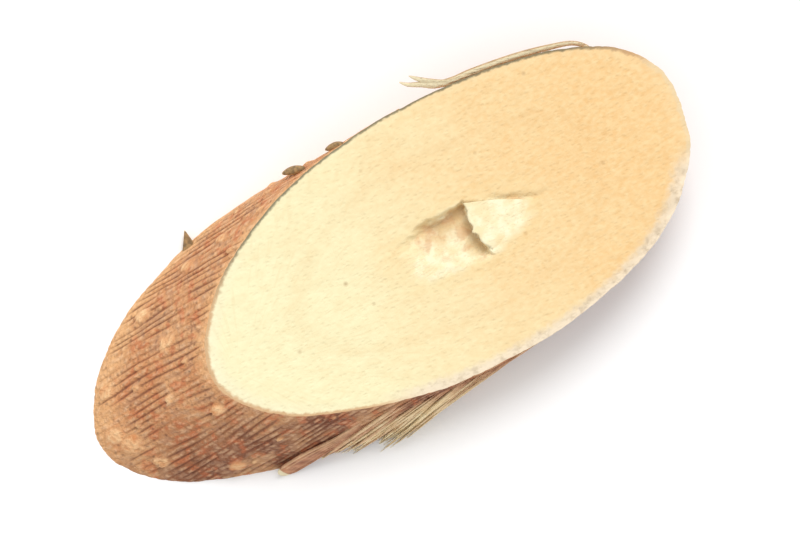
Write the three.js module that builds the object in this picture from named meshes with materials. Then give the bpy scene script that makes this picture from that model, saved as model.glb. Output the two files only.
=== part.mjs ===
// One slice of a dried mulberry twig. Both cuts run slantwise across the twig, so the cut faces are long
// ovals, and the bark wall between them leans along the twig. The slice lies on its lower cut face.
//
// Frame: millimetres, +Z up. The origin is the middle of the slice's box, on its underside. +X runs along
// the oval's long axis, towards the end where the bark wall tucks in under the upper cut face.
import * as THREE from "three";

// The twig and its two cuts.
const TWIG_RADIUS = 7.5; // mean radius, bark included
const CUT_ANGLE = 30; // degrees between the twig's axis and both cut faces
const THICKNESS = 4.3; // from cut face to cut face
const SECTION_LOBES = [
  // The section isn't quite round: each entry adds a number of soft lobes, the first one at a direction.
  { count: 3, share: 0.02, degrees: 54 },
  { count: 4, share: 0.013, degrees: 29 },
  { count: 5, share: 0.007, degrees: -35 },
];

// The bark's low ridges, which run along the twig.
const RIDGE_COUNT = 30;
const RIDGE_HEIGHT = 0.06;
const POINTS_PER_RIDGE = 6;
const BARK_SHARE = 0.93; // the bark and its ridges lie outside this share of the way out from the pith

// The pith, in the twig's own section. It lies off the twig's middle.
const PITH_CENTRE = new THREE.Vector2(0.42, -0.63);
const PITH_RADIUS = 2.1;
const PITH_STEP = 0.25; // the hollow's steep sides are this wide
const TORN_DEPTH = 1.2; // the upper cut tore a pocket in the pith, this deep at its far corner
const TORN_END = 0.3; // where the pocket ends along the section's X, measured from the pith's centre
const TORN_SIDE = 1.75; // and along its Y
const TORN_REACH = 3.2; // how far the pocket's floor takes to rise to the cut face
const SUNK_DEPTH = 0.15; // the rest of the pith only shrank, on both faces

// Rings of vertices: how far out from the pith each one lies on a cut face, and the bands of the bark wall.
const UPPER_RINGS = [0, 0.07, 0.14, 0.2, 0.25, 0.3, 0.36, 0.6, 0.93];
const LOWER_RINGS = [0.93, 0.6, 0.36, 0.28, 0.14, 0];
const WALL_BANDS = 4;

const cutAngle = THREE.MathUtils.degToRad(CUT_ANGLE);
const ovalStretch = 1 / Math.sin(cutAngle); // a slanting cut makes the section this much longer along X
const leanPerHeight = 1 / Math.tan(cutAngle); // how far the twig's axis moves along X for each unit of height

// The twig's radius at an angle round its axis, without the bark's ridges.
function sectionRadius(angle) {
  const lobe = ({ count, share, degrees }) =>
    share * Math.cos(count * (angle - THREE.MathUtils.degToRad(degrees)));
  return TWIG_RADIUS * SECTION_LOBES.reduce((radius, entry) => radius + lobe(entry), 1);
}

// A point of the twig's section, at a share of the way from the pith's centre out to the bark.
function sectionPoint(share, angle) {
  const inBark = THREE.MathUtils.smoothstep(share, BARK_SHARE, 1);
  const ridge = RIDGE_HEIGHT * inBark * Math.cos(RIDGE_COUNT * angle);
  const radius = sectionRadius(angle) + ridge;
  const outline = new THREE.Vector2(radius * Math.cos(angle), radius * Math.sin(angle));
  return PITH_CENTRE.clone().lerp(outline, share);
}

// How far the pith lies below the cut face, at an offset from its centre.
function pithDepth(offset, isUpper) {
  const inPith = 1 - THREE.MathUtils.smoothstep(offset.length(), PITH_RADIUS - PITH_STEP, PITH_RADIUS);
  if (!isUpper) return SUNK_DEPTH * inPith;
  const beforeEnd = 1 - THREE.MathUtils.smoothstep(offset.x, TORN_END - PITH_STEP, TORN_END + PITH_STEP);
  const floor = 1 - THREE.MathUtils.clamp((TORN_SIDE - offset.y) / TORN_REACH, 0, 1);
  return inPith * Math.max(SUNK_DEPTH, TORN_DEPTH * beforeEnd * floor);
}

// The profile that goes round: out over the lower face, up the bark and back in over the upper face. A point
// holds a share of the way out and a share of the way up.
function profile() {
  const lower = LOWER_RINGS.toReversed().map((share) => new THREE.Vector2(share, 0));
  const wall = Array.from({ length: WALL_BANDS + 1 }, (_, i) => new THREE.Vector2(1, i / WALL_BANDS));
  const upper = UPPER_RINGS.toReversed().map((share) => new THREE.Vector2(share, 1));
  return [...lower, ...wall, ...upper];
}

// Takes one vertex of the plain turned profile to its place on the slice.
function placeVertex(vertex) {
  const share = Math.min(Math.hypot(vertex.x, vertex.z), 1);
  const angle = Math.atan2(vertex.x, vertex.z);
  const point = sectionPoint(share, angle);
  const onFace = vertex.y === 0 || vertex.y === 1;
  const depth = onFace ? pithDepth(point.clone().sub(PITH_CENTRE), vertex.y === 1) : 0;
  const height = THICKNESS * vertex.y;
  const lean = leanPerHeight * (height - THICKNESS / 2);
  return vertex.set(point.x * ovalStretch + lean, point.y, height + (vertex.y === 1 ? -depth : depth));
}

// The turned profile with every vertex moved to its place, and its box centred on the Z axis.
function sliceGeometry() {
  const turned = new THREE.LatheGeometry(profile(), RIDGE_COUNT * POINTS_PER_RIDGE).toNonIndexed();
  const position = turned.getAttribute("position");
  const vertex = new THREE.Vector3();
  for (let i = 0; i < position.count; i += 1) {
    placeVertex(vertex.fromBufferAttribute(position, i));
    position.setXYZ(i, vertex.x, vertex.y, vertex.z);
  }
  turned.computeBoundingBox();
  const { min, max } = turned.boundingBox;
  turned.translate(-(min.x + max.x) / 2, -(min.y + max.y) / 2, 0);
  turned.computeVertexNormals();
  return turned;
}

function twigSlice() {
  const wood = new THREE.MeshStandardMaterial({ color: 0xf1dcae, roughness: 0.75, metalness: 0 });
  const slice = new THREE.Mesh(sliceGeometry(), wood);
  slice.name = "twig_slice";
  return slice;
}

const part = new THREE.Group();
part.add(twigSlice());

export default part;
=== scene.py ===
# %% [markdown]
# # A slice of dried mulberry twig
#
# Dried mulberry twig is cut slantwise into slices. This one is a long oval of pale wood with soft, torn
# pith in its middle, and a thin ridged bark round its leaning wall. The lesson builds it from rings of
# points, roughens it as the real bark and the real knife cut are rough, and then finishes each surface
# with nodes.
#
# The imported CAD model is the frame: it says how big the slice is and where it lies. Everything here is
# measured from it, so that the fine model sits exactly where the plain one does.

# %% Load the frame
import math

import bmesh
import bpy
import numpy as np
from mathutils import Euler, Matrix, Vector, noise


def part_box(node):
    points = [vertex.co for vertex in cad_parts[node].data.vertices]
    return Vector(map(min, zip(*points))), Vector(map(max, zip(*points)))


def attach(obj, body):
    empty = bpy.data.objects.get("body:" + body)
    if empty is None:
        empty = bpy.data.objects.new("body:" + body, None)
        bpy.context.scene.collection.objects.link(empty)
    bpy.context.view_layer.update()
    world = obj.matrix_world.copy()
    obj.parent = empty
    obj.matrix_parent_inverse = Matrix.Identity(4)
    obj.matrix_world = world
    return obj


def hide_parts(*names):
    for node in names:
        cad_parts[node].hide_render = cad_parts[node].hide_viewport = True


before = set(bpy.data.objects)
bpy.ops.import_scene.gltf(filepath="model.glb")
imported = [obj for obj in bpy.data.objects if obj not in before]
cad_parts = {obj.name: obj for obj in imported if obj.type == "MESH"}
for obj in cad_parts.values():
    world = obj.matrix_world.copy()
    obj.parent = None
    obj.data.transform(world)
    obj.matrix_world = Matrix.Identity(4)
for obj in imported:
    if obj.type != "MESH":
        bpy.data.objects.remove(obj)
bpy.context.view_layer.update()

# %% [markdown]
# ## The twig and its two cuts
#
# The slice is a stretch of twig between two parallel slanting cuts. So two coordinate systems are handy:
# the slice's own, with Z up, and the twig's, where two numbers say where a point lies in the twig's round
# section and a third says how far along the twig it is. The slanting cut makes the section twice as long
# along X, and going up by one moves the section along X by the lean. All sizes below are in millimetres,
# because the slice is small, and they turn into metres only when a mesh is made.

# %% Measure the slice
MM = 0.001
CUT_ANGLE = math.radians(30)  # between the twig's axis and both cut faces
STRETCH = 1 / math.sin(CUT_ANGLE)
LEAN = 1 / math.tan(CUT_ANGLE)
SECTION_LOBES = (  # how many round the twig, height as a share of the radius, degrees of the first
    (3, 0.020, 54),
    (4, 0.013, 29),
    (5, 0.007, -35),
)
PITH_CENTRE = np.array([0.42, -0.63])  # in the section: the pith lies off the twig's middle

low, high = (np.array(corner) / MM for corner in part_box("twig_slice"))
THICKNESS = high[2] - low[2]


def out_of_round(angle):
    """The section's radius at an angle, as a share of its mean: three sets of soft lobes."""
    radius = 1
    for count, share, first in SECTION_LOBES:
        radius = radius + share * np.cos(count * (angle - math.radians(first)))
    return radius


whole_turn = np.linspace(0, 2 * math.pi, 720, endpoint=False)
oval = out_of_round(whole_turn) * [STRETCH * np.cos(whole_turn), np.sin(whole_turn)]
TWIG_RADIUS = (high[1] - low[1]) / np.ptp(oval[1])
TWIG_MIDDLE = (low + high)[:2] / 2 - TWIG_RADIUS * (oval.min(axis=1) + oval.max(axis=1)) / 2
print(f"twig {2 * TWIG_RADIUS:.2f} mm across, slice {THICKNESS:.2f} mm thick")
print(f"half way up, the twig's middle is at {TWIG_MIDDLE.round(3)} mm")


# %% Go between the section and the slice
def on_slice(section_x, section_y, height):
    """Where a point of the twig's section lies on the slice, for each height above the lower cut."""
    x = STRETCH * section_x + LEAN * (height - THICKNESS / 2) + TWIG_MIDDLE[0]
    return np.stack(np.broadcast_arrays(x, section_y + TWIG_MIDDLE[1], height), axis=-1)


def along_twig(points):
    """How far along the twig points of the slice lie."""
    return points[..., 0] * math.cos(CUT_ANGLE) + points[..., 2] * math.sin(CUT_ANGLE)


def fade(value, start, end):
    """0 before start, 1 after end and a smooth change between them, where end may be the smaller one."""
    share = np.clip((value - start) / (end - start), 0, 1)
    return share * share * (3 - 2 * share)


def rough(points, scale):
    """Smooth noise from -1 to 1 at points, with scale swings per millimetre along each of their axes."""
    scaled = (np.asarray(points, float) * scale).reshape(-1, 3)
    values = np.fromiter((noise.noise(Vector(p)) for p in scaled), float, len(scaled))
    return values.reshape(np.shape(points)[:-1])


def swings(spot, size, across, along):
    """Noise of a size at places in the twig, with so many swings per millimetre across and along it."""
    return size * rough(spot, (across, across, along))


# %% [markdown]
# ## The bark's surface
#
# Young mulberry bark is thin. As it dries it wrinkles into fine ridges along the twig, about three to
# each millimetre, and corky pores called lenticels stand out of it. The ridges could be a bump in the
# material, but then the slice's outline would stay smooth. So they are real relief: a wave round the twig
# gives even ridges, and noise that is drawn out along the twig pushes the wave about and breaks the
# grooves up.

# %% Shape the bark
RIDGES = 124
GROOVE_DEPTH = 0.085
GROOVE_WIDTH = 0.5  # as the sine of the ridge wave at which a groove has nearly ended
FAINT_GROOVE = 0.28  # what is left of the depth where a groove is weakest
KNIFE_FADE = 0.4  # the knife has flattened the relief this close to a cut
LENTICEL_HEIGHT = 0.14
MEAN_RELIEF = 0.04  # how far the bark stands out from the plain slice, but for grooves and lenticels
BIG_LENTICELS = (  # degrees round the twig, share of the height, radius
    (187, 0.22, 0.62),
    (181, 0.17, 0.50),
    (162, 0.12, 0.50),
    (139, 0.24, 0.38),
    (127, 0.40, 0.38),
    (157, 0.63, 0.42),
    (193, 0.86, 0.35),
    (222, 0.24, 0.45),
    (201, 0.20, 0.30),
    (119, 0.85, 0.25),
    (123, 0.62, 0.30),
)
SMALL_LENTICELS = 40

chance = np.random.default_rng(7)
lenticels = [(math.radians(turn), share * THICKNESS, radius) for turn, share, radius in BIG_LENTICELS]
lenticels += [
    (turn, share * THICKNESS, radius)
    for turn, share, radius in zip(
        chance.uniform(0, 2 * math.pi, SMALL_LENTICELS),
        chance.uniform(0.05, 0.95, SMALL_LENTICELS),
        chance.uniform(0.12, 0.26, SMALL_LENTICELS),
    )
]


def on_lenticels(angle, far, spot):
    """How much each point is on a lenticel, from 0 to 1. far is how far along the twig it lies."""
    uneven = 1 + swings(spot + 5.0, 0.45, across=2.2, along=1.6)
    raised = np.zeros_like(far)
    for turn, up, radius in lenticels:
        middle = on_slice(TWIG_RADIUS * math.cos(turn), TWIG_RADIUS * math.sin(turn), up)
        around = TWIG_RADIUS * (np.mod(angle - turn + math.pi, 2 * math.pi) - math.pi)
        apart = uneven * np.hypot(around, (far - along_twig(middle)) * 0.8) / radius
        raised = np.maximum(raised, np.exp(-(apart**3)))
    return raised


def bark_surface(angle, height):
    """The bark's relief in millimetres, how deep in a groove each point is and how much on a lenticel."""
    round_x, round_y = TWIG_RADIUS * np.cos(angle), TWIG_RADIUS * np.sin(angle)
    far = along_twig(on_slice(round_x, round_y, height))
    round_x, round_y, far = np.broadcast_arrays(round_x, round_y, far)
    spot = np.stack([round_x, round_y, far], axis=-1)
    sway = swings(spot, 2.8, across=0.45, along=0.16) + swings(spot + 9.0, 0.9, across=1.5, along=0.32)
    groove = np.exp(-((np.sin(RIDGES / 2 * angle + sway) / GROOVE_WIDTH) ** 2))
    whole = fade(swings(spot + 21.0, 1.0, across=1.0, along=0.42), -0.38, 0.34)
    strength = FAINT_GROOVE + (1 - FAINT_GROOVE) * whole
    from_cut = np.minimum(height, THICKNESS - height)
    uncut = 0.25 + 0.75 * fade(from_cut, 0.0, KNIFE_FADE)
    raised = on_lenticels(angle, far, spot) * fade(from_cut, 0.05, 0.5)
    grooved = groove * strength * (1 - 0.7 * raised) * uncut
    swelling = swings(spot, 0.10, across=0.30, along=0.16) + swings(spot, 0.04, across=1.1, along=0.8)
    beads = swings(spot, 0.035, across=2.6, along=0.9) * uncut
    relief = MEAN_RELIEF + swelling + beads - GROOVE_DEPTH * grooved + LENTICEL_HEIGHT * raised
    return relief, grooved, raised


sample = bark_surface(whole_turn, THICKNESS / 2)[0]
print(f"bark relief from {sample.min():.2f} to {sample.max():.2f} mm at mid height")

# %% [markdown]
# ## The cut face
#
# A knife leaves the wood nearly flat, with faint waves across its path and a bast layer that has shrunk a
# little below the wood. The pith is another matter. It is soft, so the knife tore a pocket in it: steep
# under its upper edge and along a crack, and rising gently to the face on the far side. Right of the
# crack a scrap of pith lies over a shallow hollow, with a fold in the face along the scrap's upper side.
# A height for each point of the section says all of this.

# %% Shape the cut face
PITH_REACH = (2.15, 1.85)  # the pith's half widths in the section
POCKET_DEPTH = 1.15
POCKET_TOP = 1.95  # the pocket's steep upper edge, in the section's Y from the pith's centre
POCKET_SLOPE = 2.9  # how far down from that edge the floor has risen to the face
POCKET_END = (-2.0, -0.55)  # the pocket gets deeper from the first X to the second
CRACK_X = 0.21  # the crack on the pocket's other side, in the section's X, at its bow
CRACK_BOW = 0.05
CRACK_DEPTH = 0.66  # how deep the floor stays along the crack, as a share of the pocket's depth
SCRAP_CORNERS = np.array([  # in the section, from the pith's centre
    [0.30, 1.80],
    [2.18, -0.22],
    [0.34, -1.50],
])
HOLLOW_DEPTH = 0.13
FOLD_DEPTH = 0.22
BEVEL_ANGLE = math.radians(-38)  # where the bast has shrunk most
BEVEL_DEPTH = 0.30


def beside(x, y, first, second):
    """How far points lie left of the line from one scrap corner to another, and their share along it."""
    start, ahead = SCRAP_CORNERS[first], SCRAP_CORNERS[second] - SCRAP_CORNERS[first]
    length = math.hypot(*ahead)
    left = (ahead[0] * (y - start[1]) - ahead[1] * (x - start[0])) / length
    return left, (ahead[0] * (x - start[0]) + ahead[1] * (y - start[1])) / length**2


def torn_pith(section_x, section_y):
    """How far the torn pith lies below the cut, and from 0 to 1 how much the surface is pith."""
    x, y = section_x - PITH_CENTRE[0], section_y - PITH_CENTRE[1]
    spot = np.stack([x, y, np.zeros_like(x)], axis=-1)
    ragged = 0.16 * rough(spot, 1.6) + 0.09 * rough(spot, 4.5)
    outside, along_side = beside(x, y, 0, 1)
    from_middle = np.hypot((x - 0.05) / PITH_REACH[0], (y - 0.15) / PITH_REACH[1])
    pithy = fade(from_middle + 0.8 * ragged, 1.06, 0.74)
    pithy = pithy * fade(outside + ragged, 0.3, 0.0)
    crack = CRACK_X + CRACK_BOW * (y - 0.3) ** 2 + 0.4 * ragged
    in_pocket = fade(x, crack + 0.02, crack - 0.07)
    below_top = POCKET_TOP - 0.45 * np.clip(-1.2 - x, 0, 1.5) + 1.3 * ragged - y
    steep = 0.35 * fade(below_top, 0.0, 0.12) + 0.65 * fade(below_top, 0.05, 0.45)
    floor = steep * (1 - np.clip(below_top / POCKET_SLOPE, 0, 1)) ** 1.3
    by_crack = CRACK_DEPTH * np.exp(-(((crack - x) / 0.5) ** 2)) * fade(y, -1.7, -0.9) * steep
    lumps = pithy * (0.11 * rough(spot, 1.9) + 0.07 * rough(spot, 4.5) + 0.035 * rough(spot, 11.0))
    pocket = in_pocket * POCKET_DEPTH * np.maximum(floor * fade(x, *POCKET_END), by_crack)
    inside = -beside(x, y, 1, 2)[0]
    hollow = HOLLOW_DEPTH * fade(outside, 0.12, 0.0) * fade(inside + ragged, 0.05, 0.75)
    fold = FOLD_DEPTH * np.exp(-(((outside - 0.15 - 0.4 * ragged) / 0.15) ** 2))
    fold = fold * fade(along_side, 0.15, 0.5) * fade(along_side, 1.04, 0.82)
    beyond = (1 - in_pocket) * np.maximum(hollow, fold)
    return pocket + beyond + lumps * (0.2 + 0.8 * in_pocket), pithy


def face_relief(share, angle, spot):
    """The knife's and the drying's marks on a cut face, as height. spot holds the points in the twig."""
    chatter = 0.010 * np.sin(2.4 * spot[..., 0] + 1.1 * spot[..., 1] + 1.5 * rough(spot, 0.25))
    grain = swings(spot, 0.010, across=3.0, along=0.5)
    from_bevel = np.mod(angle - BEVEL_ANGLE + math.pi, 2 * math.pi) - math.pi
    bevel = 0.04 + BEVEL_DEPTH * np.exp(-((from_bevel / 0.42) ** 2))
    shrunk = bevel * fade(share, 0.925, 0.99) * (0.8 + 0.5 * rough(spot, 1.2))
    return chatter + grain - shrunk


# %% [markdown]
# ## The slice as one mesh
#
# The slice grew as one piece, so it is one closed mesh: rings of points go out over the upper face from
# the pith to the bark, down the bark wall and back in over the lower face. A remesh or a displacement
# modifier could make the same shape, but rings follow what they describe. They are close together where
# there is detail, each ring is all bark, all wood or all pith, and the rim stays a crisp knife edge.

# %% Lay out the rings
AROUND = 840
PITH_SHARE = 0.33  # how far out from the pith's centre the pith's own rings go
BAST_SHARE = 0.93  # and where the bast begins
WALL_ROWS = 40
upper_shares = np.concatenate([
    np.linspace(0, PITH_SHARE, 35)[1:],
    np.linspace(PITH_SHARE, BAST_SHARE, 13)[1:],
    np.linspace(BAST_SHARE, 1, 9)[1:],
])
lower_shares = np.concatenate([
    np.linspace(1, BAST_SHARE, 5)[1:],
    np.linspace(BAST_SHARE, PITH_SHARE, 9)[1:],
    np.linspace(PITH_SHARE, 0, 7)[1:-1],
])
turn = np.linspace(0, 2 * math.pi, AROUND, endpoint=False)[None, :]


def face_rings(shares, is_upper):
    """Points of a cut face's rings, how far in from the bark each lies, and how much it is pith."""
    share = np.asarray(shares)[:, None]
    cut = THICKNESS if is_upper else 0.0
    rim = TWIG_RADIUS * out_of_round(turn) + bark_surface(turn, cut)[0] * fade(share, 0.94, 1)
    section_x = PITH_CENTRE[0] * (1 - share) + share * rim * np.cos(turn)
    section_y = PITH_CENTRE[1] * (1 - share) + share * rim * np.sin(turn)
    flat = on_slice(section_x, section_y, cut)
    spot = np.stack([section_x, section_y, along_twig(flat)], axis=-1)
    relief = face_relief(share, turn, spot)
    if is_upper:
        torn, pithy = torn_pith(section_x, section_y)
        height = cut + relief - torn
    else:
        pithy = fade(share + 0.02 * rough(spot, 1.5), PITH_SHARE - 0.02, PITH_SHARE - 0.10)
        height = np.where(share > 0.97, 0.0, np.maximum(0, 0.14 * pithy + 0.5 * relief + 0.02))
    flat[..., 2] = height
    to_rim = np.hypot(rim * np.cos(turn) - PITH_CENTRE[0], rim * np.sin(turn) - PITH_CENTRE[1])
    return flat, (1 - share) * to_rim, pithy


upper, upper_in, upper_pithy = face_rings(upper_shares, True)
lower, lower_in, lower_pithy = face_rings(lower_shares, False)
print(f"{len(upper_shares)} rings above, {WALL_ROWS} round the wall, {len(lower_shares)} below")

# %% Put the bark wall between them
RIM_DEPTH = 1.2  # how far down the wall thickens towards a rim that sticks out

top_edge = upper[-1, :, 2]
rows = np.linspace(1, 0, WALL_ROWS + 1)[1:, None]
wall_height = rows * top_edge[None, :]
wall_relief, wall_groove, wall_raised = bark_surface(turn, wall_height)
chipped = 0.03 * fade(rows, 0.05, 0.0)
wall_radius = TWIG_RADIUS * out_of_round(turn) + wall_relief - chipped
wall = on_slice(wall_radius * np.cos(turn), wall_radius * np.sin(turn), wall_height)
stuck_out = LEAN * (THICKNESS - top_edge)  # a rim that has shrunk down stays this far out along X
wall[..., 0] += stuck_out * fade(top_edge - wall_height, RIM_DEPTH, 0.0)

upper_middle = upper[0].mean(axis=0)
lower_middle = lower[-1].mean(axis=0)
points = np.concatenate([upper.reshape(-1, 3), wall.reshape(-1, 3), lower.reshape(-1, 3)])
points = np.concatenate([points, [upper_middle, lower_middle]])
ring_count = len(upper) + len(wall) + len(lower)
print(f"{len(points)} points in {ring_count} rings")

# %% Join the rings into faces
here = np.arange(AROUND)
after = (here + 1) % AROUND
start = np.arange(ring_count - 1)[:, None] * AROUND
corners = (start + here, start + AROUND + here, start + AROUND + after, start + after)
quads = np.stack(corners, axis=-1).reshape(-1, 4)
first_cap = np.stack([np.full(AROUND, len(points) - 2), here, after], axis=-1)
last_ring = (ring_count - 1) * AROUND
last_cap = np.stack([np.full(AROUND, len(points) - 1), last_ring + after, last_ring + here], axis=-1)

slice_mesh = bpy.data.meshes.new("twig_slice_fine")
all_faces = quads.tolist() + first_cap.tolist() + last_cap.tolist()
slice_mesh.from_pydata((points * MM).tolist(), [], all_faces)
slice_body = bpy.data.objects.new("twig_slice_body", slice_mesh)
bpy.context.scene.collection.objects.link(slice_body)

BARK, WOOD, PITH = range(3)  # the slice's material slots, in order
ring_finish = np.full(ring_count - 1, BARK)
upper_pith = np.count_nonzero(upper_shares <= PITH_SHARE + 1e-9)
lower_pith = np.count_nonzero(lower_shares <= PITH_SHARE + 1e-9)
ring_finish[: len(upper) - 1] = WOOD
ring_finish[: upper_pith - 1] = PITH
ring_finish[len(upper) + len(wall) - 1 :] = WOOD
ring_finish[ring_count - lower_pith :] = PITH
finish_of_face = np.concatenate([np.repeat(ring_finish, AROUND), np.full(2 * AROUND, PITH)])
slice_mesh.polygons.foreach_set("material_index", finish_of_face.astype(np.int32))
slice_mesh.polygons.foreach_set("use_smooth", np.ones(len(slice_mesh.polygons), bool))
print(f"{len(slice_mesh.polygons)} faces")

# %% [markdown]
# ## Keep what the finishes need
#
# The finishes have to know things that only the shape knows: how deep in the bark a point of the cut
# lies, what is a groove and what is a lenticel. Each is stored on the mesh's points as a named number,
# which a material can read. The knife edge between cut and bark is marked sharp, so that shading breaks
# there.


# %% Store numbers on the mesh
def store(mesh, name, values):
    """Stores one number for each of the mesh's points."""
    attribute = mesh.attributes.new(name, "FLOAT", "POINT")
    attribute.data.foreach_set("value", np.asarray(values, np.float32))


def ring_numbers(above, on_wall, below, middles):
    """One number for each point of the slice, from those of its three parts and its two middle points."""
    rings_of = ((above, len(upper)), (on_wall, len(wall)), (below, len(lower)))
    numbers = [np.broadcast_to(part, (count, AROUND)).ravel() for part, count in rings_of]
    return np.concatenate([*numbers, middles])


sunk = np.where(upper_shares[:, None] < BAST_SHARE, np.maximum(0, THICKNESS - upper[..., 2]), 0)
store(slice_mesh, "groove", ring_numbers(0, wall_groove, 0, [0, 0]))
store(slice_mesh, "raised", ring_numbers(0, wall_raised, 0, [0, 0]))
store(slice_mesh, "depth_in", ring_numbers(upper_in, 0, lower_in, [TWIG_RADIUS, TWIG_RADIUS]))
store(slice_mesh, "pithy", ring_numbers(upper_pithy, 0, lower_pithy, [1, 1]))
store(slice_mesh, "sunk", ring_numbers(sunk, 0, 0, [sunk[0].mean(), 0]))

rim_rings = (len(upper) - 1, len(upper) + len(wall) - 1)
edge_ends = np.empty(2 * len(slice_mesh.edges), np.int32)
slice_mesh.edges.foreach_get("vertices", edge_ends)
edge_rings = edge_ends.reshape(-1, 2) // AROUND
sharp = np.isin(edge_rings[:, 0], rim_rings) & (edge_rings[:, 0] == edge_rings[:, 1])
sharp_edges = slice_mesh.attributes.new("sharp_edge", "BOOLEAN", "EDGE")
sharp_edges.data.foreach_set("value", sharp)
print(f"{sharp.sum()} sharp edges along the two rims")

# %% [markdown]
# ## Unroll the slice
#
# A baked picture of the finishes needs the surface laid out flat. An automatic unwrap would cut this
# bumpy bark into hundreds of scraps. The slice unrolls by itself into three tidy patches: the two ovals,
# and the bark as a strip with its length round the twig.

# %% Lay out the patches
SHEET = 48.0  # the side of the square sheet that holds the patches, in millimetres
GAP = 0.6


def patch_place():
    """A place on the sheet for each corner of each face."""
    corner_point = np.empty(len(slice_mesh.loops), np.int32)
    slice_mesh.loops.foreach_get("vertex_index", corner_point)
    corner_counts = [face.loop_total for face in slice_mesh.polygons]
    face_of_corner = np.repeat(np.arange(len(corner_counts)), corner_counts)
    ring, step = corner_point // AROUND, (corner_point % AROUND).astype(float)
    place = points[corner_point]
    face_ring = np.where(face_of_corner < len(quads), face_of_corner // AROUND, 0)
    face_ring = np.where(face_of_corner >= len(quads) + AROUND, ring_count, face_ring)
    step = np.where((step == 0) & (face_of_corner % AROUND == AROUND - 1), AROUND, step)
    above, below = face_ring < len(upper) - 1, face_ring >= len(upper) + len(wall) - 1
    flat = np.empty((len(corner_point), 2))
    flat[:, 0] = step / AROUND * (SHEET - 2 * GAP) + GAP
    flat[:, 1] = SHEET - GAP - (ring - len(upper) + 1) / len(wall) * (THICKNESS * STRETCH)
    top_low, bottom_low = upper.reshape(-1, 3).min(axis=0), lower.reshape(-1, 3).min(axis=0)
    flat[above] = (place[above] - top_low)[:, :2] + GAP
    flat[below] = (place[below] - bottom_low)[:, :2] + [GAP, 2 * TWIG_RADIUS + 4 * GAP]
    return flat / SHEET


bake_map = slice_mesh.uv_layers.new(name="OFBake")
laid_out = patch_place()
bake_map.data.foreach_set("uv", laid_out.astype(np.float32).ravel())
print(f"patches fill {laid_out.min(axis=0).round(3)} to {laid_out.max(axis=0).round(3)} of the sheet")

# %% [markdown]
# ## Loose bits
#
# A knife through dry twig leaves bits behind: a curl of outer bark, a torn tongue, frayed fibres and
# corky scraps. All are thin strips, so one helper makes them: it sweeps a flat oval section along a line
# of points and closes both ends. Each starts in the bark, so it is plainly attached. Two numbers go with
# each strip's points: how much they face outwards, where bark is, and how pale the strip is there.

# %% Sweep a strip
STRIP_SIDES = 10


def strip(route, widths, thicknesses, facing, pale=0.0, bare=0.0):
    """A closed strip along route: its points, faces and two numbers. facing is where its outside looks.

    pale is one number, or one for each step. bare is the share of its far end that has lost its bark.
    """
    route = np.asarray(route, float)
    ahead = np.gradient(route, axis=0)
    ahead /= np.linalg.norm(ahead, axis=1)[:, None]
    facing = np.broadcast_to(np.asarray(facing, float), route.shape)
    side = np.cross(facing, ahead)
    side /= np.linalg.norm(side, axis=1)[:, None]
    out = np.cross(ahead, side)
    around = np.linspace(0, 2 * math.pi, STRIP_SIDES, endpoint=False)
    rings = [
        p + 0.5 * np.outer(np.cos(around), s * w) + 0.5 * np.outer(np.sin(around), o * t)
        for p, s, o, w, t in zip(route, side, out, widths, thicknesses)
    ]
    here, after = np.arange(STRIP_SIDES), (np.arange(STRIP_SIDES) + 1) % STRIP_SIDES
    end = (len(route) - 1) * STRIP_SIDES
    faces = [
        [row + a, row + b, row + STRIP_SIDES + b, row + STRIP_SIDES + a]
        for row in range(0, end, STRIP_SIDES)
        for a, b in zip(here, after)
    ]
    kept = fade(np.linspace(1, 0, len(route)), 0.5 * bare, bare + 1e-9)
    outer = np.outer(kept, 0.5 + 0.5 * np.sin(around)).ravel()
    paleness = np.repeat(np.broadcast_to(pale, len(route)), STRIP_SIDES)
    return np.concatenate(rings), [*faces, list(here[::-1]), list(end + here)], outer, paleness


def smooth_route(knots, steps):
    """A smooth line of steps points through the knots, by Catmull-Rom."""
    knots = np.asarray(knots, float)
    padded = np.concatenate([[2 * knots[0] - knots[1]], knots, [2 * knots[-1] - knots[-2]]])
    places = np.linspace(0, len(knots) - 1 - 1e-9, steps)
    k, f = places.astype(int), (places % 1)[:, None]
    a, b, c, d = (padded[k + i] for i in range(4))
    return 0.5 * (2 * b + (c - a) * f + (2 * a - 5 * b + 4 * c - d) * f**2 + (3 * b - a - 3 * c + d) * f**3)


def joined_object(name, parts, numbers):
    """One object from parts of points, faces and named numbers, with face normals pointing out."""
    starts = np.cumsum([0] + [len(part[0]) for part in parts])
    faces = [[int(i + start) for i in face] for part, start in zip(parts, starts) for face in part[1]]
    mesh = bpy.data.meshes.new(name)
    mesh.from_pydata((np.concatenate([part[0] for part in parts]) * MM).tolist(), [], faces)
    for place, number in enumerate(numbers, start=2):
        store(mesh, number, np.concatenate([part[place] for part in parts]))
    tidy = bmesh.new()
    tidy.from_mesh(mesh)
    bmesh.ops.remove_doubles(tidy, verts=tidy.verts, dist=0.001 * MM)
    bmesh.ops.recalc_face_normals(tidy, faces=tidy.faces)
    tidy.to_mesh(mesh)
    tidy.free()
    mesh.polygons.foreach_set("use_smooth", np.ones(len(mesh.polygons), bool))
    made = bpy.data.objects.new(name, mesh)
    bpy.context.scene.collection.objects.link(made)
    return made


STRIP_NUMBERS = ("outer", "pale")


def outwards(degrees):
    """The direction straight out of the bark at an angle round the twig."""
    x, y = math.cos(math.radians(degrees)), math.sin(math.radians(degrees))
    return np.array([x * math.sin(CUT_ANGLE), y, -x * math.cos(CUT_ANGLE)])


def on_bark(degrees, share, out=0.0):
    """A point at an angle round the twig and a share of the height, out from the bark by so much."""
    angle = math.radians(degrees)
    radius = TWIG_RADIUS * float(out_of_round(angle)) + out
    return on_slice(radius * math.cos(angle), radius * math.sin(angle), share * THICKNESS)


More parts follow.
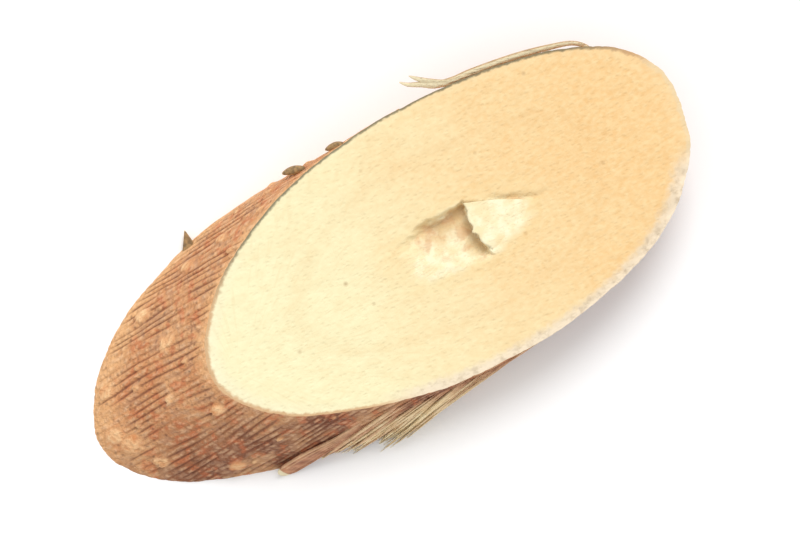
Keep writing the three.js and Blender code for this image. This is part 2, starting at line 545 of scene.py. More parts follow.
# %% [markdown]
# ### The scrap over the pocket
#
# A papery three-cornered scrap of pith still covers the pocket's right half. Its free edge stands proud
# over the crack and throws the dark line that shows there. Towards its far side it sinks into the face
# and ends. It is a sheet, so it is made as one: a grid of points with a second one just under it.

# %% Make the scrap
SCRAP_THICKNESS = 0.07
SCRAP_ROWS = 36
EDGE_LIFT = 0.12  # how far its free edge stands above the face
FAR_SINK = 0.16  # and how far its far side has sunk below that
CHIP = 0.15  # how far a chip on the free edge reaches over the crack, in the section
UPPER_BULGE, LOWER_BULGE = (0.0, 0.16), (0.25, -0.36)  # how far its two long sides bow out


def scrap_outline(side, toward_tip):
    """Where the scrap's points lie in the section, by their shares along the free edge and away from it."""
    edge = SCRAP_CORNERS[0] + (SCRAP_CORNERS[2] - SCRAP_CORNERS[0]) * side[..., None]
    edge[..., 0] -= 0.10 * np.sin(math.pi * side) - 0.04 * np.sin(5 * math.pi * side)
    edge[..., 0] -= CHIP * np.exp(-(((side - 0.5) / 0.05) ** 2))
    bow = side[..., None] ** 2 * LOWER_BULGE + (1 - side[..., None]) * UPPER_BULGE
    away = toward_tip[..., None]
    return edge + (SCRAP_CORNERS[1] - edge) * away + np.sin(math.pi * away) * bow


def scrap_sheet():
    """The scrap's upper side, in rows from its free edge to its far corner, and how much it is pith."""
    shares = np.linspace(0, 1, SCRAP_ROWS)
    toward_tip, side = np.meshgrid(shares, shares, indexing="ij")
    flat = scrap_outline(side, toward_tip)
    inside = -beside(flat[..., 0], flat[..., 1], 1, 2)[0]
    spot = np.concatenate([flat, np.zeros(flat.shape[:2] + (1,))], axis=-1)
    lift = EDGE_LIFT * (1 - toward_tip) ** 3 + 0.05 * np.sin(math.pi * side) * (1 - toward_tip)
    height = THICKNESS - 0.015 + lift - FAR_SINK * fade(inside, 0.8, -0.35)
    height = height + 0.035 * rough(spot, 1.6) + 0.02 * rough(spot, 5.0)
    sheet = on_slice(flat[..., 0] + PITH_CENTRE[0], flat[..., 1] + PITH_CENTRE[1], THICKNESS)
    sheet[..., 2] = height
    return sheet, fade(inside, -0.3, 0.5) * fade(toward_tip, 1.0, 0.75)


def scrap_object():
    """The scrap as a closed sheet: its upper side, a lower side under it and the edge between them."""
    upper_side, pithy = scrap_sheet()
    lower_side = upper_side - [0, 0, SCRAP_THICKNESS]
    grid = np.arange(SCRAP_ROWS**2).reshape(SCRAP_ROWS, SCRAP_ROWS)
    over = np.stack([grid[:-1, :-1], grid[1:, :-1], grid[1:, 1:], grid[:-1, 1:]], axis=-1).reshape(-1, 4)
    under = over[:, ::-1] + grid.size
    border = np.array([*grid[0, :], *grid[1:, -1], *grid[-1, -2::-1], *grid[-2:0:-1, 0]])
    after = np.roll(border, -1)
    edge = np.stack([border, after, grid.size + after, grid.size + border], axis=-1)
    shape = np.concatenate([upper_side, lower_side]).reshape(-1, 3)
    faces = np.concatenate([over, under, edge]).tolist()
    part = (shape, faces, np.tile(pithy.ravel(), 2), np.zeros(len(shape)))
    return joined_object("pith_scrap", [part], ("pithy", "sunk"))


pith_scrap = scrap_object()
print(f"scrap of {len(pith_scrap.data.polygons)} faces")

# %% [markdown]
# ### Curl and tongue
#
# The curl is a ribbon of outer bark that has sprung off the upper rim, with a second, shorter one inside
# it. Both start in the wall, swell, and taper to a point that turns up and away. The tongue is a strip of
# bark torn loose from the wall's -Y side, down to the lower rim. It keeps its ridges, so thin strips lie
# on it, and its torn tip shows pale bast.

# %% Make the curl
DOWN_TWIG = np.array([-math.cos(CUT_ANGLE), 0, -math.sin(CUT_ANGLE)])
CURL_ROUTE = (  # degrees round the twig, share of the height, out from the bark
    (33, 0.82, -0.10),
    (38, 0.90, 0.22),
    (44, 0.93, 0.42),
    (50, 0.94, 0.36),
    (58, 0.95, 0.29),
    (67, 0.95, 0.26),
    (72, 0.96, 0.22),
    (76, 0.96, 0.38),
    (79, 0.97, 0.70),
    (82, 0.98, 1.02),
    (84.0, 1.00, 1.36),
)
INNER_ROUTE = (  # as in CURL_ROUTE
    (66, 0.97, 0.08),
    (74, 0.99, 0.28),
    (78.5, 1.01, 0.68),
    (81.2, 1.03, 1.04),
    (83.0, 1.04, 1.42),
)
CURL_BEARING = 70  # degrees round the twig that the curl's outside looks to


def swept(places, steps, width, thickness, twist, pale):
    """A strip that swells and tapers along a route on the bark, and turns down by twist at its free end."""
    route = smooth_route([on_bark(*place) for place in places], steps)
    share = np.linspace(0, 1, steps)[:, None]
    facing = outwards(CURL_BEARING) * [1, 1, 0] - [0, 0, 0.5] + share**2 * np.array([0, 0, -twist])
    swell = np.sin(np.linspace(0.04, math.pi - 0.04, steps)) ** 0.75
    return strip(route, width * swell, thickness * swell, facing, pale)


curl = swept(CURL_ROUTE, 70, width=0.62, thickness=0.24, twist=1.0, pale=0.45)
inner_curl = swept(INNER_ROUTE, 30, width=0.40, thickness=0.14, twist=0.8, pale=0.6)
bark_curl = joined_object("bark_curl", [curl, inner_curl], STRIP_NUMBERS)
print(f"curl of {len(bark_curl.data.polygons)} faces")

# %% Make the tongue
TONGUE_ROUTE = (  # as in CURL_ROUTE
    (242, 0.66, -0.15),
    (241.5, 0.45, 0.10),
    (240.5, 0.27, 0.18),
    (239.5, 0.13, 0.26),
    (239, 0.05, 0.38),
)
TONGUE_STEPS = 40
TONGUE_OUT = outwards(238)
ROOT_WIDTH, TIP_WIDTH = 0.35, 1.30
TONGUE_FLATNESS = 0.22  # thickness as a share of the width
TORN_SHARE = 0.16  # how much of the tongue, from its tip, has lost its bark
TONGUE_RIDGES = 5
RIDGE_WIDTH = 0.17
RIDGED_STEPS = 36  # the ridges stop short of the torn tip

tongue_route = smooth_route([on_bark(*place) for place in TONGUE_ROUTE], TONGUE_STEPS)
along_tongue = np.linspace(0, 1, TONGUE_STEPS)
tongue_width = ROOT_WIDTH + (TIP_WIDTH - ROOT_WIDTH) * fade(along_tongue, 0.0, 0.6)
tongue_width = tongue_width * np.sqrt(1 - 0.97 * along_tongue**10)
tongue = [strip(tongue_route, tongue_width, TONGUE_FLATNESS * tongue_width, TONGUE_OUT, bare=TORN_SHARE)]
ridge_width = RIDGE_WIDTH * fade(np.linspace(1, 0, RIDGED_STEPS), 0.0, 0.15)
for offset in np.linspace(-0.42, 0.42, TONGUE_RIDGES):
    sideways = np.outer(offset * tongue_width[:RIDGED_STEPS], np.cross(TONGUE_OUT, DOWN_TWIG))
    ridge_route = tongue_route[:RIDGED_STEPS] + sideways + 0.07 * TONGUE_OUT
    tongue.append(strip(ridge_route, ridge_width, 0.8 * ridge_width, TONGUE_OUT, pale=0.2 - 0.3 * offset))
bark_tongue = joined_object("bark_tongue", tongue, STRIP_NUMBERS)
print(f"tongue with {TONGUE_RIDGES} ridges")

# %% [markdown]
# ### Fibres and corky scraps
#
# The fibres are bark and bast that the knife pulled out under the rim, in four tufts that follow the
# twig. Hair particles could make them, but each fibre as its own strip keeps its root in the bark and its
# own width and colour. They start brown and turn to pale straw. The scraps are bits of cork: two scales
# that lift off the bark, and a spike near the lower rim.

# %% Make the fibres
TUFTS = (  # count, degrees round the twig from and to, tip's X in millimetres, how far out, how pale
    (22, 244, 251, -8.6, 0.24, 0.45),
    (28, 250, 259, -7.3, 0.38, 0.62),
    (90, 255, 273, -5.4, 0.80, 0.90),
    (16, 272, 290, 1.0, 0.20, 0.45),
)
FIBRE_STEPS = 18
FIBRE_WIDTHS = (0.12, 0.34)
FIBRE_BEND = 0.014  # how much a fibre strays sideways, as a share of its length
SHADE_SPREAD = 0.30  # how much paleness differs from fibre to fibre

fibre_chance = np.random.default_rng(11)


def fibre(first, last, tip_x, out, pale):
    """One frayed fibre, from its root in the bark down along the twig, easing out from the bark."""
    degrees = fibre_chance.uniform(first, last)
    start = on_bark(degrees, fibre_chance.uniform(0.62, 0.97), fibre_chance.uniform(-0.10, 0.04))
    reach = (start[0] - tip_x) / math.cos(CUT_ANGLE) * fibre_chance.uniform(0.6, 1.0)
    steps = np.linspace(0, 1, FIBRE_STEPS)[:, None]
    drift = fibre_chance.uniform(0.3, 1.0) * out * outwards(degrees) * [1, 1, 0.4]
    bend = fibre_chance.normal(0, FIBRE_BEND, 3) * reach
    easing = (drift + 0.10 * outwards(degrees)) * steps**0.8 + bend * steps**2.5
    route = start + reach * DOWN_TWIG * steps + easing
    taper = fade(steps[:, 0], -0.05, 0.25) * (1 - 0.7 * fade(steps[:, 0], 0.7, 1.0))
    width = fibre_chance.uniform(*FIBRE_WIDTHS) * taper
    route[:, 2] = np.maximum(route[:, 2], 0.5 * width)
    shade = np.clip(pale + fibre_chance.normal(0, SHADE_SPREAD), 0, 1) * fade(steps[:, 0], 0.0, 0.45)
    return strip(route, width, 0.5 * width, outwards(degrees), shade)


fibres = [fibre(*numbers) for count, *numbers in TUFTS for _ in range(count)]
bast_fibres = joined_object("bast_fibres", fibres, STRIP_NUMBERS)
print(f"{len(fibres)} fibres")

# %% Make the corky scraps
SCRAPS = (  # degrees round the twig, share of the height, length, width, how far its lower end stands out
    (104, 0.80, 1.3, 0.62, 0.42),
    (98, 0.93, 1.1, 0.55, 0.20),
)
SCALE_STEPS = 18
SPIKE_BASE, SPIKE_TIP = (114.2, 0.06, -0.25), (110.9, 0.10, 0.82)  # as in CURL_ROUTE
SPIKE_STEPS = 10
SPIKE_WIDTHS, SPIKE_THICKNESSES = (0.95, 0.05), (0.4, 0.03)  # at its base and at its tip


def corky_scrap(degrees, share, length, width, out):
    """A lens of cork on the bark, lifting towards its lower end."""
    steps = np.linspace(0, 1, SCALE_STEPS)[:, None]
    lift = out * outwards(degrees) * steps**0.6
    route = on_bark(degrees, share, 0.02) + length * DOWN_TWIG * steps + lift
    swell = np.sin(math.pi * np.clip(0.1 + 0.84 * steps[:, 0], 0, 1)) ** 0.7
    return strip(route, width * swell, 0.75 * width * swell, outwards(degrees), pale=0.1)


spike_route = smooth_route([on_bark(*SPIKE_BASE), on_bark(*SPIKE_TIP)], SPIKE_STEPS)
spike_sides = (np.linspace(*ends, SPIKE_STEPS) for ends in (SPIKE_WIDTHS, SPIKE_THICKNESSES))
spike = strip(spike_route, *spike_sides, facing=(0, 0, 1))
scales = [corky_scrap(*numbers) for numbers in SCRAPS]
corky_scraps = joined_object("corky_scraps", [spike, *scales], STRIP_NUMBERS)
print(f"a spike and {len(scales)} corky scraps")

# %% [markdown]
# ## Shared effects
#
# Bark, bast, wood and pith are one plant, so they share some looks: fibres that run along the twig, and
# small specks. Each is a node group, made once and placed in each material with that material's own
# numbers. Short helpers come first: they add a node and fill its sockets, do sums, and lay one colour
# over another. They keep the materials below as readable as a list of what a painter does.


# %% Node helpers
def node(tree, kind, sockets=None, **settings):
    """Adds a node, sets it, and gives its sockets a value or another node's output."""
    made = tree.nodes.new(kind)
    for name, value in settings.items():
        setattr(made, name, value)
    for name, value in (sockets or {}).items():
        if isinstance(value, bpy.types.NodeSocket):
            tree.links.new(value, made.inputs[name])
        else:
            made.inputs[name].default_value = value
    return made


def reckon(tree, kind, first, second):
    """Arithmetic on two numbers, where kind is one of Blender's names for it."""
    return node(tree, "ShaderNodeMath", {0: first, 1: second}, operation=kind).outputs[0]


def total(tree, first, second):
    """One number plus another."""
    return reckon(tree, "ADD", first, second)


def product(tree, first, second):
    """One number times another."""
    return reckon(tree, "MULTIPLY", first, second)


def between(tree, value, low, high, to_low=0.0, to_high=1.0):
    """A value's place from low to high, made smooth and put from to_low to to_high."""
    sockets = {"Value": value, 1: low, 2: high, 3: to_low, 4: to_high}
    return node(tree, "ShaderNodeMapRange", sockets, interpolation_type="SMOOTHSTEP").outputs[0]


def blend(tree, mask, first, second, share=1.0):
    """The first colour where mask is 0 and, by share, the second where it is 1."""
    factor = mask if share == 1.0 else product(tree, mask, share)
    return node(tree, "ShaderNodeMix", {0: factor, 6: first, 7: second}, data_type="RGBA").outputs[2]


def tint(red, green, blue):
    """A colour from its screen numbers, 0 to 255."""
    linear = [((c / 255 + 0.055) / 1.055) ** 2.4 if c > 10 else c / 255 / 12.92 for c in (red, green, blue)]
    return (*linear, 1.0)


# %% Read places and stored numbers
def stored(tree, name):
    """A number that was stored on the mesh's points."""
    return node(tree, "ShaderNodeAttribute", attribute_name=name).outputs["Fac"]


def object_place(tree):
    """A point's place in the slice, in metres."""
    return node(tree, "ShaderNodeTexCoord").outputs["Object"]


def split(tree, place):
    """A place's X, Y and Z."""
    return node(tree, "ShaderNodeSeparateXYZ", {0: place}).outputs


def twig_place(tree):
    """A point's place in the twig in millimetres: two numbers across it from its middle, and Z along it."""
    turn_back = {"Vector": object_place(tree), "Angle": math.pi / 2 - CUT_ANGLE}
    turned = node(tree, "ShaderNodeVectorRotate", turn_back, rotation_type="Y_AXIS").outputs[0]
    scaled = node(tree, "ShaderNodeVectorMath", {0: turned, "Scale": 1 / MM}, operation="SCALE").outputs[0]
    middle_x = TWIG_MIDDLE[0] * math.sin(CUT_ANGLE) - THICKNESS / 2 * math.cos(CUT_ANGLE)
    middle = (middle_x, TWIG_MIDDLE[1], 0)
    return node(tree, "ShaderNodeVectorMath", {0: scaled, 1: middle}, operation="SUBTRACT").outputs[0]


def clouds(tree, place, scale, detail=4.0):
    """Soft noise round 0.5, with scale swings per millimetre."""
    return node(tree, "ShaderNodeTexNoise", {"Vector": place, "Scale": scale, "Detail": detail}).outputs[0]


def squeezed(tree, place, across, along):
    """A place with its two numbers across the twig and its number along it scaled."""
    scale = node(tree, "ShaderNodeCombineXYZ", {0: across, 1: across, 2: along}).outputs[0]
    return node(tree, "ShaderNodeVectorMath", {0: place, 1: scale}, operation="MULTIPLY").outputs[0]


# %% Make, fill and place a node group
NUMBER, COLOUR, VECTOR = "NodeSocketFloat", "NodeSocketColor", "NodeSocketVector"


def new_group(name, numbers, results):
    """A node group that takes a Place and named numbers, each with a default, and gives named results."""
    group = bpy.data.node_groups.new(name, "ShaderNodeTree")
    group.interface.new_socket("Place", in_out="INPUT", socket_type=VECTOR)
    for socket, value in numbers.items():
        group.interface.new_socket(socket, in_out="INPUT", socket_type=NUMBER).default_value = value
    for socket, kind in results.items():
        group.interface.new_socket(socket, in_out="OUTPUT", socket_type=kind)
    return group, node(group, "NodeGroupInput").outputs, node(group, "NodeGroupOutput").inputs


def use_group(tree, group, **sockets):
    """Places a shared group, fills its named sockets and gives its outputs."""
    return node(tree, "ShaderNodeGroup", sockets, node_tree=group).outputs


# %% Fibres that run along the twig
def make_fibre_group():
    """Streaks along the twig, from 0 to 1."""
    numbers = {"Across": 4.0, "Along": 0.3, "Contrast": 0.5}
    group, given, result = new_group("Twig fibres", numbers, {"Streaks": NUMBER})
    place = squeezed(group, given["Place"], given["Across"], given["Along"])
    half = product(group, given["Contrast"], 0.5)
    ends = {1: reckon(group, "SUBTRACT", 0.5, half), 2: total(group, 0.5, half)}
    lifted = node(group, "ShaderNodeMapRange", {"Value": clouds(group, place, 1.0), **ends})
    group.links.new(lifted.outputs[0], result["Streaks"])
    return group


fibre_group = make_fibre_group()
print("group:", fibre_group.name)


# %% Specks
def make_speck_group():
    """Small dots, drawn out along the twig by Stretch. 1 in a dot, and 0 outside."""
    numbers = {"Density": 3.0, "Size": 0.2, "Stretch": 3.0}
    group, given, result = new_group("Specks", numbers, {"Dots": NUMBER})
    along = reckon(group, "DIVIDE", given["Density"], given["Stretch"])
    place = squeezed(group, given["Place"], given["Density"], along)
    cells = node(group, "ShaderNodeTexVoronoi", {"Vector": place, "Scale": 1.0, "Randomness": 1.0})
    dots = node(group, "ShaderNodeMapRange", {"Value": cells.outputs["Distance"], 1: given["Size"], 2: 0.0})
    group.links.new(dots.outputs[0], result["Dots"])
    return group


speck_group = make_speck_group()
print("group:", speck_group.name)


# %% Start and finish a material
def new_material(name):
    """A material, its node tree and its Principled shader."""
    material = bpy.data.materials.new(name)
    material.use_nodes = True
    tree = material.node_tree
    return material, tree, tree.nodes["Principled BSDF"]


def feed(tree, shader, colour, roughness, height, depth):
    """Feeds the shader a colour, a roughness and a bump, whose height is in shares of depth millimetres."""
    raised = node(tree, "ShaderNodeBump", {"Height": height, "Strength": 1.0, "Distance": depth * MM})
    tree.links.new(colour, shader.inputs["Base Color"])
    tree.links.new(roughness, shader.inputs["Roughness"])
    tree.links.new(raised.outputs[0], shader.inputs["Normal"])


# %% [markdown]
# ## Bark
#
# The bark is matt and warm brown. Its crests are paler and pinker with painted highlights, and its grooves
# dark with painted shade. It is more orange towards +Y and darker towards -Y, which is painted light and
# shade, with a pale edge along the cuts that is partly bark the knife has thinned and partly painted light,
# brightest on the lit side. The lenticels are a paler orange. A picture could be wrapped round it, but the
# stored groove and lenticel numbers already know where each colour goes, to the tenth of a millimetre, and
# the fibre group adds the fine streaks between them.


# %% Finish the bark
def make_bark():
    """Brown bark: broad patches first, then streaks, crests, grooves, dark dots and lenticels."""
    material, tree, shader = new_material("dry_bark")
    place = twig_place(tree)
    side = split(tree, place)[1]
    height = split(tree, object_place(tree))[2]
    broad, blotch = clouds(tree, place, 0.35), clouds(tree, place, 1.5, 5.0)
    fine = use_group(tree, fibre_group, Place=place, Across=5.0, Along=1.3, Contrast=0.40)["Streaks"]
    flecks = use_group(tree, fibre_group, Place=place, Across=3.4, Along=0.55, Contrast=0.40)["Streaks"]
    # painted light and shade: darker brown towards -Y, away from the light, and orange towards the lit +Y
    # side
    ground = blend(tree, between(tree, side, -6.0, 1.5), tint(124, 72, 46), tint(214, 150, 98))
    ground = blend(tree, between(tree, broad, 0.40, 0.60), ground, tint(226, 172, 120), 0.65)
    ground = blend(tree, between(tree, blotch, 0.50, 0.62), ground, tint(204, 112, 66), 0.6)
    ground = blend(tree, between(tree, blotch, 0.48, 0.36), ground, tint(188, 144, 112), 0.5)
    by_lower_cut = between(tree, height, 1.6 * MM, 0.3 * MM)
    by_upper_cut = between(tree, height, (THICKNESS - 0.6) * MM, THICKNESS * MM)
    by_cut = reckon(tree, "MAXIMUM", by_lower_cut, by_upper_cut)
    # partly painted light: a pale edge by both cuts, where the knife has thinned the bark, brightest on the
    # lit +Y side
    pale_and_lit_edge = product(tree, by_cut, between(tree, side, -4.0, 2.0, 0.0, 0.85))
    ground = blend(tree, pale_and_lit_edge, ground, tint(242, 188, 130))
    ground = blend(tree, fine, ground, tint(140, 86, 60), 0.32)
    groove = stored(tree, "groove")
    # painted highlights: paler, pinker flecks on the ridge crests
    crest_highlight = product(tree, between(tree, groove, 0.20, 0.0), between(tree, flecks, 0.25, 1.0))
    ground = blend(tree, crest_highlight, ground, tint(240, 198, 156), 0.45)
    # painted shade: darker in the grooves
    ground = blend(tree, between(tree, groove, 0.15, 0.90), ground, tint(122, 72, 50), 0.70)
    dots = use_group(tree, speck_group, Place=place, Density=2.4, Size=0.30, Stretch=1.6)["Dots"]
    ground = blend(tree, dots, ground, tint(92, 54, 40), 0.6)
    lenticel = blend(tree, flecks, tint(216, 146, 92), tint(250, 208, 156))
    ground = blend(tree, between(tree, stored(tree, "raised"), 0.2, 0.8), ground, lenticel, 0.85)
    relief = total(tree, product(tree, fine, 0.7), total(tree, flecks, blotch))
    feed(tree, shader, ground, between(tree, fine, 0.0, 1.0, 0.72, 0.92), relief, 0.10)
    return material


bark = make_bark()
print("material:", bark.name)

# %% [markdown]
# ## Cut wood
#
# The wood is cream at one end of the slice and turns peach towards the other. It has fine streaks, small
# pores, a few tiny knots and thin rays that spread from the pith. The cut crosses the twig slantwise, so
# pores drawn out along the twig show as the short ovals that they really are. The torn pith fades into
# this wood, so the wood's look is a node group that the wood and the pith both use.

# %% The wood's look
CREAM_END, PEACH_END = -9.5, 16.0  # millimetres along X where the wood is all cream and all peach
DRIFT = 10.0  # millimetres that clouds move those two ends by, from their darkest to their lightest
RAYS = 30.0  # swings of the ray noise in one radian
PORE_SHADE, RAY_SHADE = 0.12, 0.10  # how plainly they show, on the wood and where the pith fades into it


def ray_noise(group, place):
    """Noise in thin wedges that spread from the pith."""
    apart = split(group, place)
    from_x = reckon(group, "SUBTRACT", apart[0], float(PITH_CENTRE[0]))
    from_y = reckon(group, "SUBTRACT", apart[1], float(PITH_CENTRE[1]))
    bearing = product(group, reckon(group, "ARCTAN2", from_y, from_x), RAYS)
    squared = total(group, product(group, from_x, from_x), product(group, from_y, from_y))
    wedges = {0: bearing, 1: product(group, squared, 0.03), 2: apart[2]}
    return clouds(group, node(group, "ShaderNodeCombineXYZ", wedges).outputs[0], 1.0, 2.0)


def make_wood_group():
    """Cut wood at a place in the twig: its colour and a height for its bump."""
    numbers = {"Pores": 0.1, "Rays": 0.1}
    group, given, result = new_group("Cut wood", numbers, {"Colour": COLOUR, "Height": NUMBER})
    place = given["Place"]
    cloud = clouds(group, place, 0.30, 3.0)
    drift = product(group, total(group, cloud, -0.5), DRIFT * MM)
    swayed_x = total(group, split(group, object_place(group))[0], drift)
    to_peach = between(group, swayed_x, CREAM_END * MM, PEACH_END * MM)
    ground = blend(group, to_peach, tint(234, 228, 186), tint(230, 188, 128))
    fine = use_group(group, fibre_group, Place=place, Across=2.2, Along=0.35, Contrast=0.45)["Streaks"]
    ground = blend(group, fine, ground, tint(214, 172, 112), 0.20)
    mottle = use_group(group, fibre_group, Place=place, Across=4.2, Along=2.4, Contrast=0.35)["Streaks"]
    ground = blend(group, mottle, ground, tint(244, 236, 192), 0.24)
    ray = product(group, between(group, ray_noise(group, place), 0.52, 0.70), given["Rays"])
    ground = blend(group, ray, ground, tint(202, 158, 98))
    pores = use_group(group, speck_group, Place=place, Density=4.6, Size=0.40, Stretch=5.0)["Dots"]
    open_pores = product(group, pores, between(group, cloud, 0.35, 0.65, 0.35, 1.0))
    ground = blend(group, product(group, open_pores, given["Pores"]), ground, tint(196, 152, 94))
    knots = use_group(group, speck_group, Place=place, Density=0.42, Size=0.075, Stretch=1.0)["Dots"]
    ground = blend(group, knots, ground, tint(158, 122, 78), 0.7)
    group.links.new(ground, result["Colour"])
    height = total(group, product(group, fine, 0.4), product(group, pores, -0.6))
    group.links.new(total(group, height, product(group, mottle, 0.4)), result["Height"])
    return group


wood_group = make_wood_group()
print("group:", wood_group.name)

# %% [markdown]
# ### Layers at the rim
#
# From the rim inwards the cut shows a thin line of cork, a pale band of bast and then wood. The cork is
# dark and greenish on one side, partly its own colour and partly painted shadow under the rim, tan where
# the knife came in, and nearly white at the far end, where the bast has shrunk to a gritty bevel. The
# stored depth says which layer a point is in, and soft masks across and along the twig's section say which
# cork it is.


# %% Finish the cut wood
def make_cut_wood():
    """The wood's look, with a darker growth ring, pale bast, cork and a gritty bevel towards the rim."""
    material, tree, shader = new_material("cut_wood")
    place = twig_place(tree)
    x, y, _ = split(tree, place)
    wood = use_group(tree, wood_group, Place=place, Pores=PORE_SHADE, Rays=RAY_SHADE)
    from_rim = stored(tree, "depth_in")
    flecked = clouds(tree, place, 3.4, 5.0)
    waver = product(tree, reckon(tree, "SUBTRACT", flecked, 0.5), 0.5)
    wavy_depth = total(tree, from_rim, waver)
    ring = product(tree, between(tree, wavy_depth, 2.3, 2.8), between(tree, wavy_depth, 3.3, 2.8))
    ground = blend(tree, ring, wood["Colour"], tint(212, 164, 102), 0.10)
    near_end = between(tree, x, 3.5, -3.0, 0.08, 0.85)
    bast = product(tree, between(tree, wavy_depth, 0.60, 0.22), near_end)
    ground = blend(tree, bast, ground, blend(tree, flecked, tint(216, 202, 158), tint(250, 246, 222)))
    # partly painted shadow: the cork is darker and greenish towards +Y and -X, under the upper rim
    dark_cork_and_shadow = product(tree, between(tree, y, 3.0, 6.0), between(tree, x, -4.5, 0.0))
    bleached = product(tree, between(tree, x, 2.5, 4.5), between(tree, y, 3.6, 2.2))
    cork_colour = blend(tree, dark_cork_and_shadow, tint(196, 152, 106), tint(98, 90, 64))
    cork_colour = blend(tree, bleached, cork_colour, tint(224, 200, 158))
    in_cork = between(tree, total(tree, from_rim, product(tree, waver, 0.4)), 0.17, 0.05)
    ground = blend(tree, in_cork, ground, cork_colour, 0.85)
    by_bevel = product(tree, between(tree, y, -2.2, -3.6), between(tree, x, 3.2, 4.8))
    on_bevel = product(tree, by_bevel, between(tree, wavy_depth, 0.70, 0.15))
    ground = blend(tree, on_bevel, ground, tint(230, 214, 190), 0.8)
    dirt = between(tree, clouds(tree, place, 2.6, 3.0), 0.45, 0.75)
    ground = blend(tree, product(tree, dirt, on_bevel), ground, tint(150, 126, 92), 0.45)
    relief = total(tree, wood["Height"], product(tree, bast, product(tree, flecked, 2.0)))
    feed(tree, shader, ground, between(tree, flecked, 0.3, 0.7, 0.52, 0.74), relief, 0.035)
    return material


cut_wood = make_cut_wood()
print("material:", cut_wood.name)

# %% [markdown]
# ## Pith and loose bits
#
# Pith is a dry sponge: cream, fully matt and finely pitted, with painted shade in brown where it is torn
# deep, and stained in patches. The stored pith number fades it into the wood round it. Loose bits are bark
# outside and pale bast inside and at their edges, with painted shade in the creases of their bark, and the
# pale number makes them browner or paler, point by point.


# %% Finish the pith
def make_pith():
    """Sponge over wood by the stored pith number, darker with painted shade and stained where it has sunk.
    """
    material, tree, shader = new_material("dry_pith")
    place = twig_place(tree)
    wood = use_group(tree, wood_group, Place=place, Pores=PORE_SHADE, Rays=RAY_SHADE)
    soft = clouds(tree, place, 1.4, 5.0)
    sponge = blend(tree, between(tree, soft, 0.35, 0.65), tint(242, 232, 196), tint(234, 216, 172))
    pits = use_group(tree, speck_group, Place=place, Density=5.5, Size=0.3, Stretch=1.4)["Dots"]
    sponge = blend(tree, pits, sponge, tint(202, 168, 118), 0.18)
    pithy, sunk = stored(tree, "pithy"), stored(tree, "sunk")
    ground = blend(tree, pithy, wood["Colour"], sponge)
    # painted shade: browner where the pith has sunk, deepest in the pocket and along the fold by the scrap
    deep = between(tree, total(tree, sunk, product(tree, soft, 0.3)), 0.26, 1.2)
    ground = blend(tree, deep, ground, tint(192, 148, 92), 0.6)
    stains = between(tree, clouds(tree, place, 1.15, 3.0), 0.47, 0.62)
    stained = product(tree, stains, between(tree, sunk, 0.02, 0.25))
    ground = blend(tree, stained, ground, tint(206, 158, 112), 0.55)
    spongy = product(tree, total(tree, soft, product(tree, pits, -0.5)), pithy)
    relief = total(tree, spongy, wood["Height"])
    feed(tree, shader, ground, between(tree, soft, 0.3, 0.7, 0.8, 0.96), relief, 0.04)
    return material


dry_pith = make_pith()
print("material:", dry_pith.name)


# %% Finish the loose bits
def make_loose_bits():
    """Outer bark on the outside of a strip, pale bast inside, and both paler where the strip is."""
    material, tree, shader = new_material("loose_bits")
    place = twig_place(tree)
    broad = clouds(tree, place, 1.4)
    fine = use_group(tree, fibre_group, Place=place, Across=6.0, Along=0.8, Contrast=0.45)["Streaks"]
    pale, outer = stored(tree, "pale"), stored(tree, "outer")
    brown = blend(tree, between(tree, broad, 0.30, 0.70), tint(178, 116, 86), tint(214, 154, 116))
    straw = blend(tree, between(tree, broad, 0.20, 0.80), tint(246, 214, 160), tint(255, 238, 194))
    ground = blend(tree, pale, brown, straw)
    ground = blend(tree, fine, ground, tint(146, 106, 68), 0.24)
    creases = use_group(tree, fibre_group, Place=place, Across=2.4, Along=0.12, Contrast=0.22)["Streaks"]
    # painted shade: darker creases on the browner strips; the same mask also dents the bump below
    crease_dip_and_shade = product(tree, creases, between(tree, pale, 0.4, 0.0, 0.0, 0.5))
    ground = blend(tree, crease_dip_and_shade, ground, tint(120, 72, 50))
    ground = blend(tree, between(tree, outer, 0.42, 0.15), ground, tint(238, 224, 186))
    at_edge = product(tree, between(tree, outer, 0.24, 0.42), between(tree, outer, 0.78, 0.60))
    weathered = product(tree, at_edge, between(tree, pale, 0.15, 0.45, 0.0, 0.45))
    ground = blend(tree, weathered, ground, tint(150, 132, 92))
    relief = reckon(tree, "SUBTRACT", fine, crease_dip_and_shade)
    feed(tree, shader, ground, between(tree, fine, 0.0, 1.0, 0.68, 0.9), relief, 0.08)
    return material


def make_cork():
    """The corky scraps: dull olive brown, and tan inside."""
    material, tree, shader = new_material("cork")
    grainy = clouds(tree, twig_place(tree), 4.0)
    ground = blend(tree, between(tree, grainy, 0.35, 0.65), tint(122, 98, 66), tint(168, 134, 90))
    inside = between(tree, stored(tree, "outer"), 0.40, 0.10)
    ground = blend(tree, inside, ground, tint(222, 186, 122))
    feed(tree, shader, ground, between(tree, grainy, 0.3, 0.7, 0.78, 0.94), grainy, 0.06)
    return material


loose_bits, cork = make_loose_bits(), make_cork()
print("materials:", loose_bits.name, cork.name)

# %% [markdown]
# ## Put it together
#
# The fine slice stands for the plain one, which keeps its place in the physics and isn't shown. Every
# loose bit rides with the slice, because it has grown on it.

# %% Dress the pieces and tie them to the frame
for finish in (bark, cut_wood, dry_pith):
    slice_mesh.materials.append(finish)
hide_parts("twig_slice")

loose_pieces = (
    (pith_scrap, dry_pith, "pith"),
    (bark_curl, loose_bits, "bark"),
    (bark_tongue, loose_bits, "bark"),
    (bast_fibres, loose_bits, "bark"),
    (corky_scraps, cork, "bark"),
)
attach(slice_body, "root")
for piece, finish, slot in loose_pieces:
    piece.data.materials.append(finish)
    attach(piece, "root")
print(f"{len(loose_pieces)} loose pieces ride with the slice")

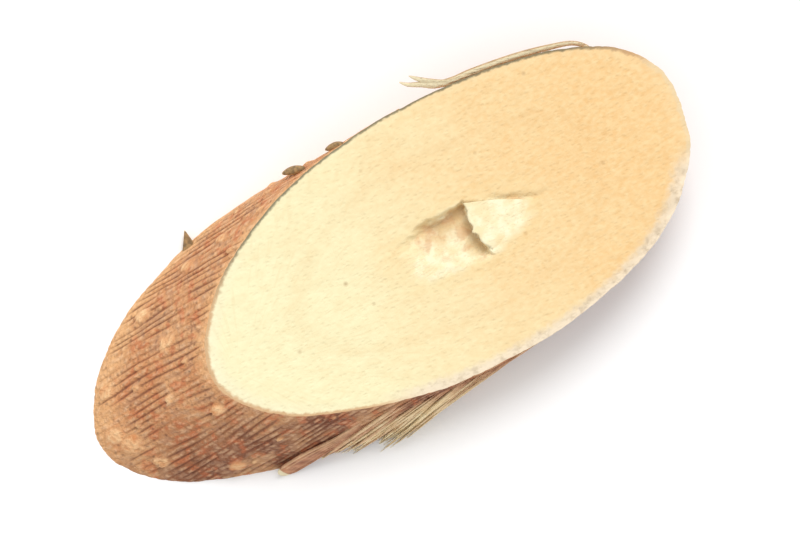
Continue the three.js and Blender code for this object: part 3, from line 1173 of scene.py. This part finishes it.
# %% [markdown]
# ## Floor and light
#
# A plain white floor reaches far out, and the world behind it has the floor's own brightness, so no
# horizon shows at low angles. One wide sun gives soft shadows of the same strength everywhere, which an
# area light close by wouldn't, and the white world fills them.

# %% Lay the floor
FLOOR_RADIUS = 4.0  # in metres
FLOOR_WHITE = 0.93

bpy.ops.mesh.primitive_circle_add(vertices=96, radius=FLOOR_RADIUS, fill_type="NGON", location=(0, 0, 0))
floor = bpy.context.object
floor.name = "floor"
floor_finish, _, floor_shader = new_material("floor_white")
floor_shader.inputs["Base Color"].default_value = (FLOOR_WHITE, FLOOR_WHITE, FLOOR_WHITE, 1)
floor_shader.inputs["Roughness"].default_value = 0.9
floor_shader.inputs["Specular IOR Level"].default_value = 0.1
floor.data.materials.append(floor_finish)
print(f"floor {2 * FLOOR_RADIUS} m across")

# %% Light it
SKY = 0.85  # how strongly the world lights the slice
BACKDROP = 1.0  # and how bright it looks itself
SUN = 1.65
SUN_WIDTH = math.radians(30)
SUN_TURN = math.radians(48)  # round from +X
SUN_HEIGHT = math.radians(50)

world = bpy.data.worlds.new("white_room")
bpy.context.scene.world = world
world.use_nodes = True
sky = world.node_tree
sky.nodes.clear()
seen = node(sky, "ShaderNodeBackground", {"Color": (1, 1, 1, 1), "Strength": BACKDROP})
lit = node(sky, "ShaderNodeBackground", {"Color": (1, 1, 1, 1), "Strength": SKY})
path = node(sky, "ShaderNodeLightPath")
by_ray = {0: path.outputs["Is Camera Ray"], 1: lit.outputs[0], 2: seen.outputs[0]}
either = node(sky, "ShaderNodeMixShader", by_ray)
node(sky, "ShaderNodeOutputWorld", {"Surface": either.outputs[0]})

sun_light = bpy.data.lights.new("soft_sun", "SUN")
sun_light.energy = SUN
sun_light.angle = SUN_WIDTH
sun = bpy.data.objects.new("soft_sun", sun_light)
level = math.cos(SUN_HEIGHT)
toward_sun = Vector((math.cos(SUN_TURN) * level, math.sin(SUN_TURN) * level, math.sin(SUN_HEIGHT)))
sun.rotation_euler = toward_sun.to_track_quat("Z", "Y").to_euler()
bpy.context.scene.collection.objects.link(sun)
bpy.context.scene.view_settings.view_transform = "Standard"
print("sun from", tuple(round(c, 2) for c in toward_sun))

# %% [markdown]
# ## Camera
#
# The slice is seen from straight above, with its long axis rising to the right. A long lens keeps the
# lower face from shrinking behind the upper one, as it would close up.

# %% Set the camera
ROLL = math.radians(30.7)  # how far the slice's long axis rises
LENS = 500.0
FRAME_WIDTH = 44.4  # millimetres that the picture is wide at the upper face
LOOK_AT = (0.75, 0.0)  # millimetres from the slice's middle

camera_data = bpy.data.cameras.new("camera")
camera_data.lens = LENS
camera = bpy.data.objects.new("camera", camera_data)
distance = FRAME_WIDTH * MM * LENS / camera_data.sensor_width + THICKNESS * MM
camera.location = (LOOK_AT[0] * MM, LOOK_AT[1] * MM, distance)
camera.rotation_euler = Euler((0, 0, -ROLL))
camera_data.clip_start, camera_data.clip_end = 0.01, 10
bpy.context.scene.collection.objects.link(camera)
bpy.context.scene.camera = camera
print(f"camera {distance:.3f} m above the floor")
